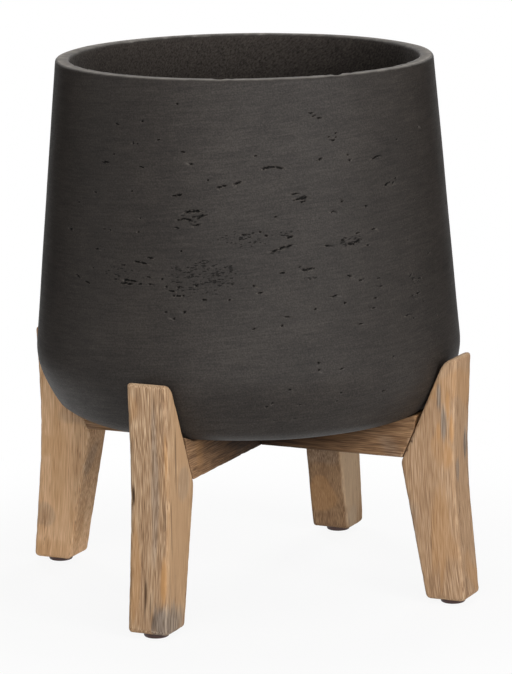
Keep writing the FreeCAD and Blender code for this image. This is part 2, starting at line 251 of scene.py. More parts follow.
def drawn_face(bm, corners):
    """A face in the XZ plane from corners of (across, up, rounding radius) in millimetres."""
    places = [Vector((across, 0, up)) for across, up, radius in corners]
    verts = [bm.verts.new(place * MM) for place in places]
    bm.faces.new(verts)
    for number, (across, up, radius) in enumerate(corners):
        if radius:
            back = places[number - 1] - places[number]
            ahead = places[(number + 1) % len(places)] - places[number]
            half_angle = back.angle(ahead) / 2
            arc = radius * (math.pi - 2 * half_angle)
            bmesh.ops.bevel(
                bm, geom=[verts[number]], offset=radius / math.tan(half_angle) * MM, affect="VERTICES",
                segments=max(3, round(arc / ARC_STEP)), profile=0.5, material=-1,
            )


def finished(bm, name, material, body, slot, *nodes):
    """Turn a bmesh into a piece that rides on a body and stands for CAD nodes."""
    for face in bm.faces:
        face.smooth = True
    mesh = bpy.data.meshes.new(name)
    bm.to_mesh(mesh)
    bm.free()
    mesh.materials.append(material)
    piece = bpy.data.objects.new(name, mesh)
    bpy.context.scene.collection.objects.link(piece)
    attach(piece, body)
    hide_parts(*nodes)
    mesh.calc_loop_triangles()
    print(name, len(mesh.loop_triangles), "triangles")
    return piece


print("outlines have a point every", ARC_STEP, "mm of arc")

# %% [markdown]
# ## Fibre cement
# The pot is cast from cement with glass fibre and black pigment, then rubbed back and washed by hand.
# That leaves a matte charcoal skin with soft cloudy patches, fine streaks that run round the pot, and
# small holes where air bubbles burst. Object coordinates squeezed in height give streaks that follow the
# round wall without a seam. The holes that can be told apart are real dents in the mesh, and the mesh
# says with an attribute where they are, so that the material can paint them near black: painted shade
# in the holes.

# %% Fibre cement skin
# Matte charcoal to the eye, never one flat tone. The sizes are in mm. Real grit is finer, too fine to show,
# so it is drawn coarser.
CLOUD, STREAK, TROWEL, GRIT = 60, 40, 18, 1.2

cement, tree = new_material("washed_fibre_cement")
place = add_node(tree, "TexCoord").outputs["Object"]
# A cloudy wash, soft streaks, thin trowel lines and grit: the streaks and lines are flattened in height
cloud = add_node(tree, "TexNoise", {
    "Vector": place, "Scale": 1 / (CLOUD * MM), "Detail": 5.0, "Roughness": 0.6,
})
streak_space = add_node(tree, "Mapping", {"Vector": place, "Scale": (1, 1, 7)})
streak = add_node(tree, "TexNoise", {
    "Vector": streak_space.outputs[0], "Scale": 1 / (STREAK * MM), "Detail": 6.0, "Roughness": 0.6,
})
trowel_space = add_node(tree, "Mapping", {
    "Vector": place, "Rotation": (0.03, -0.1, 0), "Scale": (1, 1, 0.07),
}, vector_type="TEXTURE")
trowel = add_node(tree, "TexNoise", {
    "Vector": trowel_space.outputs[0], "Scale": 1 / (TROWEL * MM), "Detail": 3.0, "Distortion": 0.5,
})
grit = add_node(tree, "TexNoise", {"Vector": place, "Scale": 1 / (GRIT * MM), "Detail": 2.0})
tone = add_node(tree, "Math", {0: cloud.outputs["Fac"], 1: 0.24}, operation="MULTIPLY").outputs[0]
for layer, share in ((streak, 0.14), (trowel, 0.24), (grit, 0.38)):
    tone = add_node(tree, "Math", {0: layer.outputs["Fac"], 1: share, 2: tone},
                    operation="MULTIPLY_ADD").outputs[0]
skin = add_node(tree, "ValToRGB", {"Fac": tone},
                stops=[(0.36, "#1b1816"), (0.64, "#3a3531"), (0.5, "#2a2623")]).outputs[0]
print("charcoal skin,", len(tree.nodes), "nodes")

# %% Brushed inside
# Inside, a stiff brush left short slanting scratches in the bare cement
BRUSH = 1.3
raw = add_node(tree, "Attribute", attribute_name="raw").outputs["Fac"]
brush_space = add_node(tree, "Mapping", {
    "Vector": place, "Rotation": (0.2, 0.9, 0), "Scale": (1, 1, 2.2),
}, vector_type="TEXTURE")
brush = add_node(tree, "TexNoise", {
    "Vector": brush_space.outputs[0], "Scale": 1 / (BRUSH * MM), "Detail": 3.0, "Distortion": 0.4,
}).outputs["Fac"]
bare = add_node(tree, "ValToRGB", {"Fac": brush}, stops=[(0.3, "#262220"), (0.7, "#48423d")])
skin = add_node(tree, "Mix", {0: raw, 6: skin, 7: bare.outputs[0]}, data_type="RGBA").outputs[2]
print("brush scratches", BRUSH, "mm wide")

# %% Small burst bubbles
# Ragged slanting nicks round the points of a Voronoi pattern, in patches, and more where it is scuffed,
# painted dark without a dent in the mesh: painted shade in small holes.
# The sizes are in mm.
NICK, RAGGED, RAGGED_BY, PATCH = 3.2, 2.2, 1.5, 38
ragged = add_node(tree, "TexNoise", {"Vector": place, "Scale": 1 / (RAGGED * MM), "Detail": 1.0})
ragged = add_node(tree, "VectorMath", {0: ragged.outputs["Color"], 1: (RAGGED_BY * MM,) * 3, 2: place},
                  operation="MULTIPLY_ADD")
spot_space = add_node(tree, "Mapping", {
    "Vector": ragged.outputs[0], "Rotation": (0.04, -0.14, 0), "Scale": (1, 1, 0.32),
}, vector_type="TEXTURE")
spot = add_node(tree, "TexVoronoi", {"Vector": spot_space.outputs[0], "Scale": 1 / (NICK * MM)})
chance = add_node(tree, "SeparateColor", {"Color": spot.outputs["Color"]})
patch = add_node(tree, "TexNoise", {"Vector": place, "Scale": 1 / (PATCH * MM), "Detail": 2.0})
patch = add_node(tree, "MapRange", {
    "Value": patch.outputs["Fac"], "From Min": 0.42, "From Max": 0.66, "To Min": 0.03, "To Max": 0.2,
})
scuff = add_node(tree, "Attribute", attribute_name="scuff")
often = add_node(tree, "Math", {0: patch.outputs[0], 1: scuff.outputs["Fac"]}, operation="ADD")
size = add_node(tree, "Math", {0: chance.outputs[0], 1: often.outputs[0]}, operation="ADD")
size = add_node(tree, "Math", {0: size.outputs[0], 1: 1.1, 2: -1.1}, operation="MULTIPLY_ADD")
inside_spot = add_node(tree, "Math", {0: size.outputs[0], 1: spot.outputs["Distance"]}, operation="SUBTRACT")
spot_hole = add_node(tree, "MapRange", {
    "Value": inside_spot.outputs[0], "From Min": -0.08, "From Max": 0.14, "To Max": 0.75,
})
pit = add_node(tree, "Attribute", attribute_name="pit").outputs["Fac"]
hole = add_node(tree, "Math", {0: pit, 1: spot_hole.outputs[0]}, operation="MAXIMUM").outputs[0]
print("nicks on a pattern of", NICK, "mm")

# %% Fibre cement surface
# Round the dark holes, whose dark is painted shade, the lip below catches a painted highlight, and the rim
# is pale from wear with a painted highlight and painted light. Holes, bare cement and the pale rim are
# duller.
lip = add_node(tree, "Attribute", attribute_name="lip").outputs["Fac"]
wear_and_painted_light = add_node(tree, "Attribute", attribute_name="wear_and_painted_light").outputs["Fac"]
colour = skin
# lit lips get a painted highlight, holes a painted shade, and the rim its pale wear and painted light
for share, cover in ((lip, "#5f5852"), (hole, "#0e0d0c"), (wear_and_painted_light, "#a29c95")):
    colour = add_node(tree, "Mix", {0: share, 6: colour, 7: linear(cover)}, data_type="RGBA").outputs[2]
gloss = add_node(tree, "MapRange", {
    "Value": tone, "From Min": 0.4, "From Max": 0.6, "To Min": 0.6, "To Max": 0.52,
})
dull = add_node(tree, "Math", {0: raw, 1: hole}, operation="MAXIMUM")
dull = add_node(tree, "Math", {0: wear_and_painted_light, 1: 2.0, 2: dull.outputs[0]}, operation="MULTIPLY_ADD", use_clamp=True)
gloss = add_node(tree, "Math", {0: dull.outputs[0], 1: 0.4, 2: gloss.outputs[0]}, operation="MULTIPLY_ADD",
                 use_clamp=True)
brushed = add_node(tree, "Math", {0: brush, 1: raw, 2: tone}, operation="MULTIPLY_ADD")
height = add_node(tree, "Math", {0: brushed.outputs[0], 1: spot_hole.outputs[0]}, operation="SUBTRACT")
bump = add_node(tree, "Bump", {"Height": height.outputs[0], "Strength": 0.6, "Distance": 0.6 * MM})
surface = add_node(tree, "BsdfPrincipled", {
    "Base Color": colour, "Roughness": gloss.outputs[0], "Normal": bump.outputs[0],
    "IOR": 1.5, "Specular IOR Level": 0.2,
})
add_node(tree, "OutputMaterial", {"Surface": surface.outputs[0]})
print(cement.name, len(tree.nodes), "nodes")

# %% [markdown]
# ## The pot
# The wall is straight and leans in by five degrees, on a wide round corner. A cylinder could be scaled
# ring by ring until it fits, but one outline of the wall, inside and outside, spun round the axis keeps
# the model's sizes. The outside gets a finer net than the inside, because the dents come there.

# %% Spin the pot
RIM_RADIUS, WALL, FLOOR, LEAN = 152, 11.5, 14, math.radians(5.07)
BASE_CORNER, INNER_CORNER, RIM_EDGE, DRAIN_RADIUS = 53, 41, 2.5, 13
POT_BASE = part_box("pot")[0].z / MM
POT_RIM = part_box("pot")[1].z / MM
CORNER_HEIGHT = POT_BASE + BASE_CORNER
CORNER_RADIUS = RIM_RADIUS + (POT_RIM - CORNER_HEIGHT) * math.tan(LEAN) - BASE_CORNER / math.cos(LEAN)
OUTSIDE_STEP, INSIDE_STEP, FLAT_STEP, RINGS = 2.6, 4.5, 9, 240
# Two places closer than this count as level
HAIR = 0.1 * MM


def is_outside(place):
    """Whether a place in the wall is nearer to the outside than to the inside of the pot."""
    radius, up = math.hypot(place.x, place.y) / MM, place.z / MM
    if up > CORNER_HEIGHT:
        return radius > RIM_RADIUS - WALL / 2 + (POT_RIM - up) * math.tan(LEAN)
    return math.hypot(max(radius - CORNER_RADIUS, 0), up - CORNER_HEIGHT) > (BASE_CORNER + INNER_CORNER) / 2


inner_rim = RIM_RADIUS - WALL / math.cos(LEAN)
pot = bmesh.new()
drawn_face(pot, [
    (DRAIN_RADIUS, POT_BASE, 0),
    (RIM_RADIUS + (POT_RIM - POT_BASE) * math.tan(LEAN), POT_BASE, BASE_CORNER),
    (RIM_RADIUS, POT_RIM, RIM_EDGE),
    (inner_rim, POT_RIM, RIM_EDGE),
    (inner_rim + (POT_RIM - POT_BASE - FLOOR) * math.tan(LEAN), POT_BASE + FLOOR, INNER_CORNER),
    (DRAIN_RADIUS, POT_BASE + FLOOR, 0),
])
bmesh.ops.delete(pot, geom=pot.faces[:], context="FACES_ONLY")
for edge in pot.edges[:]:
    middle = (edge.verts[0].co + edge.verts[1].co) / 2
    step = OUTSIDE_STEP if is_outside(middle) else INSIDE_STEP
    if abs(edge.verts[0].co.z - edge.verts[1].co.z) < HAIR:
        step = FLAT_STEP
    pieces = round(edge.calc_length() / (step * MM))
    if pieces > 1:
        bmesh.ops.subdivide_edges(pot, edges=[edge], cuts=pieces - 1)
bmesh.ops.spin(pot, geom=pot.verts[:] + pot.edges[:], axis=(0, 0, 1), cent=(0, 0, 0), angle=math.tau,
               steps=RINGS, use_merge=True)
bmesh.ops.recalc_face_normals(pot, faces=pot.faces[:])
print("pot spun from", len(pot.verts) // RINGS, "points, corner centre at", round(CORNER_RADIUS, 2))

# %% [markdown]
# ### Burst bubbles
# The larger holes are of three kinds: dots, short dashes, and gashes where a trowel dragged the skin open.
# On the front they are where the photograph shows them: a ray from the camera through a pixel meets the
# wall at the dent. Seeded ones go round the back. Some patches of the wall are scuffed all over. A fine
# net all over would be heavy, so it is made finer only where a dent comes, and then its points are pushed
# in. The rubbing by hand also left the corner a little fuller than an arc, below the legs' touch.

# %% Where the photograph shows dents
# They are listed one by one, and their pixels count from the top left corner
PHOTO_WIDTH, PHOTO_HEIGHT = 512, 674
FOCAL_PIXELS = LENS_MM / SENSOR_MM * PHOTO_HEIGHT
DOTS = [
    (177, 104), (142, 121), (133, 143), (137, 144), (114, 154), (191, 164), (329, 137), (336, 133),
    (336, 137), (397, 139), (418, 127), (348, 155), (350, 160), (208, 180), (138, 232), (140, 218),
    (132, 191), (95, 192), (390, 182), (396, 178), (393, 183), (414, 199), (342, 202), (366, 206),
    (276, 217), (260, 232), (266, 236), (162, 279), (166, 287), (174, 296), (177, 296), (180, 296),
    (183, 296), (181, 251), (196, 286), (229, 300), (166, 312), (184, 312), (174, 319), (300, 267),
    (316, 309), (254, 286), (408, 240), (413, 280), (424, 301), (345, 303), (282, 326), (254, 329),
    (437, 315), (319, 363), (319, 370), (394, 356), (290, 390), (337, 401), (341, 393), (272, 404),
    (267, 407),
]
DASHES = [
    (117, 124), (158, 140), (141, 167), (183, 152), (311, 113), (314, 116), (319, 118), (333, 140),
    (255, 156), (224, 186), (174, 196), (193, 212), (194, 217), (199, 218), (178, 220), (183, 219),
    (197, 225), (177, 228), (79, 202), (104, 229), (110, 230), (294, 194), (303, 202), (332, 212),
    (244, 235), (343, 240), (346, 238), (358, 233), (368, 245), (374, 229), (97, 249), (123, 265),
    (93, 268), (115, 279), (140, 284), (150, 284), (148, 277), (179, 287), (204, 300), (327, 246),
    (335, 296), (260, 293), (283, 273), (429, 253), (411, 275), (420, 278), (413, 295), (376, 298),
    (374, 308), (408, 315), (414, 318), (350, 276), (361, 280), (379, 278), (381, 286), (287, 317),
    (361, 324), (342, 369), (383, 391), (295, 418), (275, 420), (397, 414), (300, 405),
]
# pixel, then slant in degrees
GASHES = [
    (106, 162, 0), (376, 157, 15), (320, 159, 20), (266, 168, 8), (273, 167, 0), (280, 168, -10),
    (220, 187, 10), (238, 183, 20), (179, 195, 8), (188, 212, 12), (197, 211, 0), (202, 216, 10),
    (189, 220, -8), (71, 229, 0), (299, 199, 12), (304, 198, 20), (387, 184, 15), (290, 237, 17),
    (282, 248, 18), (289, 246, 16), (275, 251, 18), (351, 244, -5), (358, 241, 14), (138, 262, -5),
    (143, 263, 0), (150, 258, 0), (78, 276, -20), (87, 282, -8), (127, 280, 0), (133, 281, 0),
    (124, 283, 0), (130, 284, 0), (171, 291, 0), (306, 270, 0), (310, 269, 0), (418, 293, 0),
]
# pixel, half length and half height in mm, slant, and how scuffed
SCUFFED = [
    (283, 234, 14, 4, 5, 0.8), (282, 249, 13, 2.5, 18, 0.85), (352, 240, 16, 5, 8, 0.75),
    (200, 278, 42, 20, 4, 0.62), (125, 272, 28, 12, 0, 0.55), (312, 278, 8, 2.5, 0, 0.75),
    (416, 280, 10, 9, 0, 0.6), (106, 162, 6, 2.5, 0, 0.75), (300, 199, 7, 4, 10, 0.75),
    (192, 216, 16, 8, 8, 0.6), (245, 240, 32, 10, 4, 0.5), (70, 228, 6, 5, 0, 0.65),
]
wall_rays = bvhtree.BVHTree.FromBMesh(pot)


def seen_at(x, y):
    """The place on the pot that shows at a pixel of the photograph."""
    pixel = Vector((x - PHOTO_WIDTH / 2, PHOTO_HEIGHT / 2 - y, -FOCAL_PIXELS))
    return wall_rays.ray_cast(CAMERA_PLACE, camera_turn.to_3x3() @ pixel)[0]


def on_wall(azimuth, up):
    """The place on the outside of the pot at an azimuth in degrees and a height in millimetres."""
    inwards = Vector((-math.cos(math.radians(azimuth)), -math.sin(math.radians(azimuth)), 0))
    return wall_rays.ray_cast(Vector((0, 0, up * MM)) - inwards, inwards)[0]


print(len(DOTS) + len(DASHES) + len(GASHES), "dents read off the photograph")

# %% Place the dents
# Round the back, from one azimuth to another and between two heights, dents come in small groups
BACK_FROM, BACK_TO, BACK_GROUPS, BACK_SCUFFS = 15, 215, 36, 10
LOWEST, HIGHEST, USUAL, SCUFF_LOWEST, SCUFF_HIGHEST = 205, 425, 290, 230, 380
# half length and half height in mm
DENT_SIZES = {"dot": (0.95, 0.7), "dash": (1.8, 0.5), "gash": (2.9, 0.75)}
dice = random.Random(11)


def dent(centre, kind, slant=None):
    """A dent with its half length, half height and tilt, which differ a little from dent to dent."""
    half_length, half_height = DENT_SIZES[kind]
    tilt = dice.gauss(6, 10) if slant is None else slant + dice.gauss(0, 4)
    half_length *= dice.uniform(0.8, 1.2)
    half_height *= dice.uniform(0.85, 1.2)
    return centre, half_length, half_height, math.radians(tilt)


dents = [dent(seen_at(x, y), "dot") for x, y in DOTS]
dents += [dent(seen_at(x, y), "dash") for x, y in DASHES]
dents += [dent(seen_at(x, y), "gash", slant) for x, y, slant in GASHES]
scuffs = [(seen_at(x, y), *size) for x, y, *size in SCUFFED]
for number in range(BACK_GROUPS):
    azimuth, up = dice.uniform(BACK_FROM, BACK_TO), dice.triangular(LOWEST, HIGHEST, USUAL)
    for step in range(dice.randint(1, 5)):
        centre = on_wall(azimuth + dice.gauss(0, 3), up + dice.gauss(0, 2.5))
        dents.append(dent(centre, dice.choice(("dot", "dot", "dash", "dash", "gash"))))
for number in range(BACK_SCUFFS):
    centre = on_wall(dice.uniform(BACK_FROM, BACK_TO), dice.uniform(SCUFF_LOWEST, SCUFF_HIGHEST))
    half_length, half_height = dice.uniform(8, 36), dice.uniform(3, 16)
    scuffs.append((centre, half_length, half_height, dice.gauss(6, 8), dice.uniform(0.3, 0.5)))
print(len(dents), "dents and", len(scuffs), "scuffed patches")

# %% Make the net finer at the dents
# The finer net reaches this far past a dent, in mm: to search, along it and beside it
ROOM_AROUND, ROOM_ALONG, ROOM_BESIDE, DENT_CUTS = 3, 2.2, 1.9, 5


def reach_of(place, centre, half_length, half_height, tilt):
    """How far a place is from a slanted oval on the wall: 0 at its centre, 1 at its edge."""
    around = Vector((-centre.y, centre.x, 0)).normalized()
    across, rise = (place - centre).dot(around) / MM, (place.z - centre.z) / MM
    along = across * math.cos(tilt) + rise * math.sin(tilt)
    beside = rise * math.cos(tilt) - across * math.sin(tilt)
    return math.hypot(along / half_length, beside / half_height)


finder = kdtree.KDTree(len(pot.faces))
pot.faces.ensure_lookup_table()
for face in pot.faces:
    finder.insert(face.calc_center_median(), face.index)
finder.balance()
finer = set()
for centre, half_length, half_height, tilt in dents:
    wide, high = half_length + ROOM_ALONG, half_height + ROOM_BESIDE
    for place, index, distance in finder.find_range(centre, (half_length + ROOM_AROUND) * MM):
        if is_outside(place) and reach_of(place, centre, wide, high, tilt) < 1:
            finer.update(pot.faces[index].edges)
bmesh.ops.subdivide_edges(pot, edges=list(finer), cuts=DENT_CUTS, use_grid_fill=True)
pot.normal_update()
print("net of", len(pot.faces), "faces")

# %% Mark the dents and the scuffs
# A dent's edge is ragged, and the lip below it catches more light than the one above
EDGE_SIZE, EDGE_SHARE, LIP_REACH, LIT_BELOW, LIT_ABOVE = 1.1, 0.9, 1.9, 0.4, 0.15


def clamped(value, top=1):
    """A value held between 0 and a top."""
    return min(max(value, 0), top)


pit_layer, lip_layer, scuff_layer, raw_layer, wear_and_light_layer = [
    pot.verts.layers.float.new(name) for name in ("pit", "lip", "scuff", "raw", "wear_and_painted_light")
]
pot.verts.ensure_lookup_table()
finder = kdtree.KDTree(len(pot.verts))
for vert in pot.verts:
    finder.insert(vert.co, vert.index)
finder.balance()
for centre, half_length, half_height, tilt in dents:
    for place, index, distance in finder.find_range(centre, half_length * LIP_REACH * MM):
        vert = pot.verts[index]
        if is_outside(place):
            reach = reach_of(place, centre, half_length, half_height, tilt)
            reach += EDGE_SHARE * noise.noise(place / (EDGE_SIZE * MM))
            vert[pit_layer] = max(vert[pit_layer], clamped((1.15 - reach) / 0.4))
            lit = LIT_BELOW if place.z < centre.z else LIT_ABOVE
            vert[lip_layer] = max(vert[lip_layer], lit * max(0, 1 - abs(reach - 1.35) / 0.3))
for centre, half_length, half_height, slant, amount in scuffs:
    for place, index, distance in finder.find_range(centre, half_length * MM):
        if is_outside(place):
            reach = reach_of(place, centre, half_length, half_height, math.radians(slant))
            vert = pot.verts[index]
            vert[scuff_layer] = max(vert[scuff_layer], amount * clamped((1 - reach) / 0.5))
print("dents and scuffs marked on", len(pot.verts), "points")

# %% Push the dents in and roughen the skin
DENT_DEPTH, LIP_HEIGHT = 1.5, 0.1
# Widths and then heights in mm: the uneven skin, the lumps and small lumps inside, the chips in the rim
UNEVEN, LUMP, SMALL_LUMP, RIM_CHIP = 48, 13, 6, 7
UNEVEN_BY, LUMP_BY, SMALL_LUMP_BY, RIM_CHIP_BY = 0.25, 0.7, 0.5, 2.2
# The base and the pot's floor stay flat up to these heights
FLAT_BASE, FLAT_FLOOR = 2, 8
# Painted light: the rim's top is painted paler towards this side
PAINTED_LIGHT_SIDE = Vector((-0.95, -0.3, 0))
FULLER, FULLER_MOST, LEG_TOUCH = 0.7, 4.0, math.radians(23.5)


def fuller_corner(place):
    """How far the hand-rubbed corner stands out from its arc, between the legs' touch and the underside."""
    fall = math.atan2(CORNER_HEIGHT - place.z / MM, math.hypot(place.x, place.y) / MM - CORNER_RADIUS)
    if not LEG_TOUCH < fall < math.pi / 2:
        return 0.0
    both_ends = min(1 - math.cos(fall - LEG_TOUCH), 1 - math.sin(fall))
    return min(FULLER * BASE_CORNER * both_ends, FULLER_MOST)


for vert in pot.verts:
    below_rim = (POT_RIM * MM - vert.co.z) / MM
    rim_grain = noise.noise(vert.co / (RIM_CHIP * MM))
    lift = 0.0
    if is_outside(vert.co):
        if vert.co.z > (POT_BASE + FLAT_BASE) * MM:
            lift = UNEVEN_BY * noise.noise(vert.co / (UNEVEN * MM))
            lift += LIP_HEIGHT * vert[lip_layer] * (1 - vert[pit_layer])
            lift += fuller_corner(vert.co) - DENT_DEPTH * vert[pit_layer]
    else:
        vert[raw_layer] = min(below_rim / 3, 1)
        if vert.co.z > (POT_BASE + FLOOR + FLAT_FLOOR) * MM:
            lump = LUMP_BY * noise.noise(vert.co / (LUMP * MM))
            lump += SMALL_LUMP_BY * noise.noise(vert.co / (SMALL_LUMP * MM))
            chip = max(0, rim_grain - 0.2) * max(0, 1 - below_rim / 5)
            lift = min(below_rim / 4, 1) * lump - RIM_CHIP_BY * chip
    # The rim's top is pale from wear, with a painted highlight along its outer edge and painted light towards
    # one side
    arris = max(0, 1 - abs(math.hypot(vert.co.x, vert.co.y) / MM - RIM_RADIUS + RIM_EDGE) / 1.5)
    painted_light_share = max(0, vert.co.dot(PAINTED_LIGHT_SIDE) / (RIM_RADIUS * MM))
    share = 0.25 + 0.5 * arris + 0.1 * painted_light_share ** 4 + 0.35 * rim_grain
    vert[wear_and_light_layer] = max(0, 1 - below_rim / 1.2) * clamped(share)
    vert.co += vert.normal * lift * MM
    vert.co.z = min(vert.co.z, POT_RIM * MM)
bmesh.ops.recalc_face_normals(pot, faces=pot.faces[:])
finished(pot, "cement_pot", cement, "pot", "fibre_cement", "pot")

# %% [markdown]
# ## Weathered timber
# The stand is a coarse, open-pored hardwood that was left to grey and then brushed. The eye gets fine
# fibres, broad soft bands and short dark pores that run with the grain, with a slow sway. An image of wood
# would need unwrapping, and its grain would break at every edge. Patterns drawn out along each board, and
# bowed along the legs, run through the whole board instead. The mesh says with attributes where the wood
# is grey, amber, quiet or cracked, where it is pale from wear and painted light, and where it is painted
# dark as painted shade. Each board has its own place in the pattern, and each leg has its own tone: the
# same wood painted lighter or darker, as painted light or painted shade, for the light that leg gets.

# %% Timber material
# Real fibres and pores are about a third of these widths, too fine to show, so they are drawn coarser
FIBRE, PORE, BAND = 0.5, 1.1, 9.0
# The grain sways by a little over patches this wide, and the legs' bow turns at this height
SWAY, SWAY_BY, BOW_HEIGHT = 22, (3 * MM, 3 * MM, 0), 150


def weathered_timber(name, turn, bend, seed, tones):
    """Brushed weathered hardwood: the turn lays its grain along the board, the bend bows it to a side.

    The seed chooses a place in the pattern, and the tones are light, middle and dark wood.
    """
    material, tree = new_material(name)
    place = add_node(tree, "TexCoord").outputs["Object"]
    rise = add_node(tree, "SeparateXYZ", {"Vector": place})
    rise = add_node(tree, "Math", {0: rise.outputs["Z"], 1: BOW_HEIGHT * MM}, operation="SUBTRACT")
    bow = add_node(tree, "Math", {0: rise.outputs[0], 1: rise.outputs[0]}, operation="MULTIPLY")
    place = add_node(tree, "VectorMath", {0: bow.outputs[0], 1: bend, 2: place},
                     operation="MULTIPLY_ADD").outputs[0]
    board = add_node(tree, "Mapping", {
        "Vector": place, "Rotation": turn, "Location": (0.31 * seed, 0.17 * seed, 0.23 * seed),
    }).outputs[0]
    slow = add_node(tree, "Mapping", {"Vector": board, "Scale": (1, 1, 0.12)}).outputs[0]
    sway = add_node(tree, "TexNoise", {"Vector": slow, "Scale": 1 / (SWAY * MM), "Detail": 2.0})
    board = add_node(tree, "VectorMath", {0: sway.outputs["Color"], 1: SWAY_BY, 2: board},
                     operation="MULTIPLY_ADD").outputs[0]
    # Bands, and fibres that are weaker where the wood is quiet
    drawn_out = add_node(tree, "Mapping", {"Vector": board, "Scale": (1, 1, 0.03)}).outputs[0]
    fibre = add_node(tree, "TexNoise", {"Vector": drawn_out, "Scale": 1 / (FIBRE * MM), "Detail": 1.0})
    band = add_node(tree, "TexNoise", {"Vector": drawn_out, "Scale": 1 / (BAND * MM), "Detail": 2.0})
    quiet = add_node(tree, "Attribute", attribute_name="quiet")
    calm = add_node(tree, "MapRange", {"Value": quiet.outputs["Fac"], "To Min": 1.05, "To Max": 0.4})
    lines = add_node(tree, "Math", {0: fibre.outputs["Fac"], 1: 0.5}, operation="SUBTRACT")
    lines = add_node(tree, "Math", {0: lines.outputs[0], 1: calm.outputs[0]}, operation="MULTIPLY")
    tone = add_node(tree, "Math", {0: band.outputs["Fac"], 1: 0.24, 2: lines.outputs[0]},
                    operation="MULTIPLY_ADD")
    tone = add_node(tree, "Math", {0: tone.outputs[0], 1: 0.13}, operation="ADD").outputs[0]
    light, middle, dark = tones
    wood = add_node(tree, "ValToRGB", {"Fac": tone},
                    stops=[(0.05, dark), (0.45, light), (0.25, middle)]).outputs[0]
    # What lies over the plain wood
    ash = add_node(tree, "ValToRGB", {"Fac": fibre.outputs["Fac"]},
                   stops=[(0.35, "#4f4339"), (0.65, "#a3968a")]).outputs[0]
    # Painted shade: the wood's tone in deep browns, laid where the pot shades the rails and on the left leg's
    # inner face
    painted_shade_wood = add_node(tree, "ValToRGB", {"Fac": tone},
                      stops=[(0.05, "#0f0804"), (0.45, "#382415")]).outputs[0]
    # The pale colour is wear on edges and horn tops, and painted light where a patch lays it over a whole
    # face
    covers = {"amber": linear("#bb8a55"), "grey": ash, "painted_shade": painted_shade_wood, "wear_and_painted_light": linear("#d8bf9f")}
    for layer, cover in covers.items():
        share = add_node(tree, "Attribute", attribute_name=layer).outputs["Fac"]
        wood = add_node(tree, "Mix", {0: share, 6: wood, 7: cover}, data_type="RGBA").outputs[2]
    # Open pores, more of them in the dark bands
    pore_space = add_node(tree, "Mapping", {"Vector": board, "Scale": (1, 1, 0.09)}).outputs[0]
    pore = add_node(tree, "TexVoronoi", {"Vector": pore_space, "Scale": 1 / (PORE * MM)})
    chance = add_node(tree, "SeparateColor", {"Color": pore.outputs["Color"]})
    often = add_node(tree, "MapRange", {
        "Value": band.outputs["Fac"], "From Min": 0.35, "From Max": 0.65, "To Min": 0.32, "To Max": 0.05,
    })
    size = add_node(tree, "Math", {0: chance.outputs[0], 1: often.outputs[0]}, operation="MULTIPLY")
    size = add_node(tree, "Math", {0: size.outputs[0], 1: calm.outputs[0]}, operation="MULTIPLY")
    inside = add_node(tree, "Math", {0: size.outputs[0], 1: 1.2, 2: -0.02}, operation="MULTIPLY_ADD")
    inside = add_node(tree, "Math", {0: inside.outputs[0], 1: pore.outputs["Distance"]}, operation="SUBTRACT")
    pore_hole = add_node(tree, "MapRange", {
        "Value": inside.outputs[0], "From Min": -0.06, "From Max": 0.1, "To Max": 0.8,
    }).outputs[0]
    crack = add_node(tree, "Attribute", attribute_name="crack").outputs["Fac"]
    for share, cover in ((pore_hole, "#5b3d26"), (crack, "#3a2618")):
        wood = add_node(tree, "Mix", {0: share, 6: wood, 7: linear(cover)}, data_type="RGBA").outputs[2]
    height = add_node(tree, "Math", {0: lines.outputs[0], 1: pore_hole}, operation="SUBTRACT")
    bump = add_node(tree, "Bump", {"Height": height.outputs[0], "Strength": 0.5, "Distance": 0.35 * MM})
    surface = add_node(tree, "BsdfPrincipled", {
        "Base Color": wood, "Roughness": 0.75, "Normal": bump.outputs[0], "IOR": 1.5,
        "Specular IOR Level": 0.2,
    })
    add_node(tree, "OutputMaterial", {"Surface": surface.outputs[0]})
    return material


print("bands about", BAND, "mm wide")

# %% [markdown]
# ## The legs
# All four legs are sawn from the same pattern: a splayed foot, a knee under the rail, and a horn that
# leans out along the pot. The pattern is drawn, extruded to the board's thickness, its edges are eased,
# and planes cut it into small cells. A modifier could subdivide it, but planes give even cells, longest
# along the grain. Each leg is then a copy with its own weathering.

# %% Cut the leg blank
FOOT_INSIDE, FOOT_OUTSIDE, FOOT_HEIGHT, FOOT_ROUND = 161.67, 195.67, 4.5, 4
WAIST, WAIST_HEIGHT, WAIST_BEND = 185.17, 116, 480
KNEE, KNEE_HEIGHT, KNEE_ROUND = 140.17, 115.7, 10
HORN_HEIGHT, HORN_LEAN, TIP_WIDTH, TIP_SLOPE = 204.5, math.radians(23.5), 10, math.radians(18)
TIP_INNER_ROUND, TIP_OUTER_ROUND = 14, 3
CRADLE_ROOM, BOARD, LEG_EASE = 0.8, 34, 2.5
# axis and step of the cells in mm
LEG_CELLS = ((2, 2.5), (0, 1.2), (1, 1.2))


def inner_face(up):
    """How far from the pot's axis the legs' leaning inner faces are at a height."""
    touching = CORNER_RADIUS + (BASE_CORNER + CRADLE_ROOM) / math.cos(HORN_LEAN)
    return touching + (up - CORNER_HEIGHT) * math.tan(HORN_LEAN)


